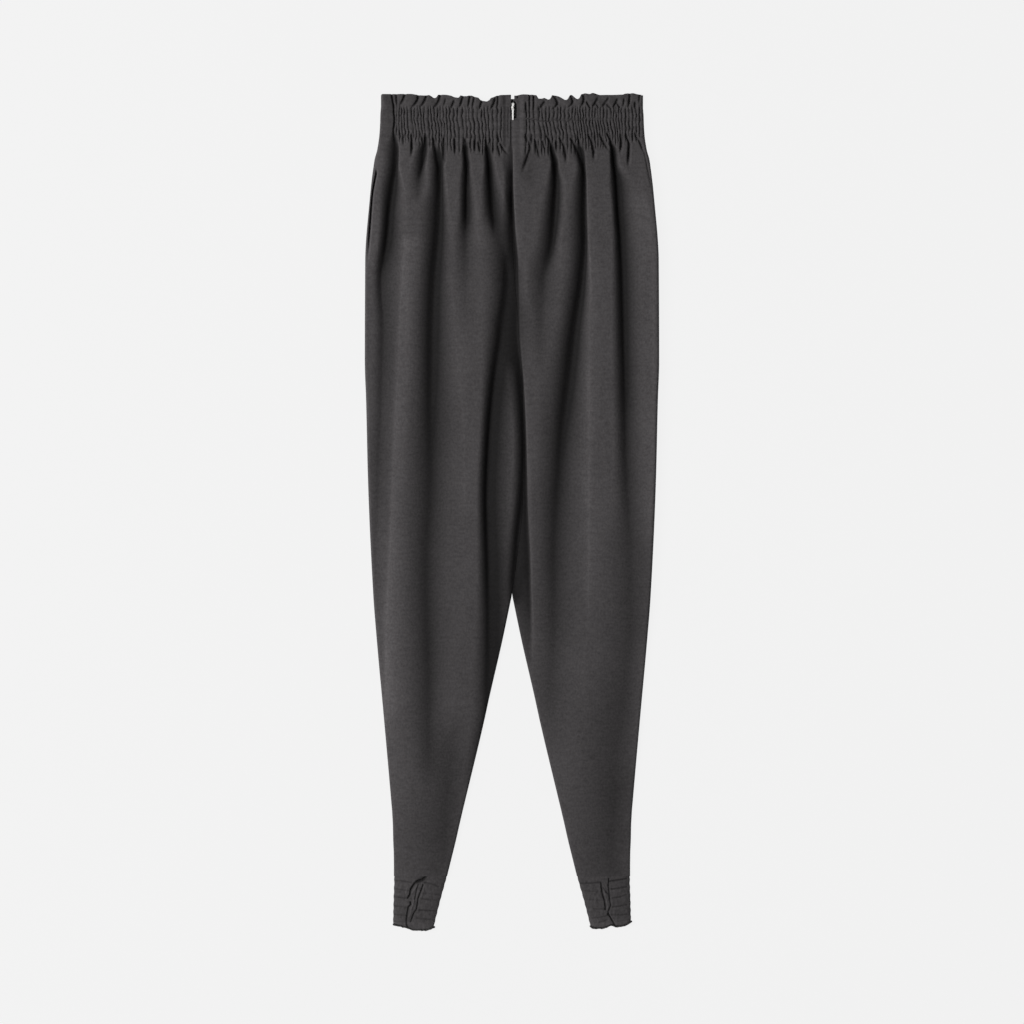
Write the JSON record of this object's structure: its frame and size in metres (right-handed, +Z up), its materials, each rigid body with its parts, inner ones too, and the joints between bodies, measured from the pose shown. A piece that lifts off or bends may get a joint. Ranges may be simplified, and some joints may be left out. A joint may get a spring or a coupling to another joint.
{
  "type": "joggers with a shirred back waist, laid flat",
  "caption": "Dark tapered joggers laid flat, back side up: frilled shirred waist with a centre zip, deep soft folds, pocket openings and shirred ankle cuffs.",
  "frame": {"origin": "middle of the underside's bounding box, on the surface that the joggers lie on", "axes": "+X to the wearer's right, +Y from the hems to the waist, +Z up from the surface, through the front to the back"},
  "size_m": [0.3648, 1.0401, 0.0096],
  "materials": {
    "crepe": "matt crepe, charcoal black",
    "overlock": "matt overlocked thread, black",
    "zip_tape": "woven tape, black",
    "zip_metal": "bright nickel"
  },
  "bodies": {
    "garment": {"back_leg_left": "crepe", "back_leg_right": "crepe", "front_leg_left": "crepe", "front_leg_right": "crepe", "pocket_edge_left": "crepe", "pocket_edge_right": "crepe", "waist_back_left": "crepe", "waist_back_right": "crepe", "waist_front": "crepe", "cuff_left": "crepe", "cuff_right": "crepe", "hem_left": "overlock", "hem_right": "overlock", "zip_tape": "zip_tape", "zip_slider": "zip_metal"},
    "pull": {"zip_pull": "zip_metal"}
  },
  "joints": [
    {"name": "pull_swing", "type": "hinge", "parent": "garment", "child": "pull", "pos_m": [0.00095, 0.503, 0.007], "axis": [-1, 0, 0], "range_deg": [0, 170]}
  ]
}
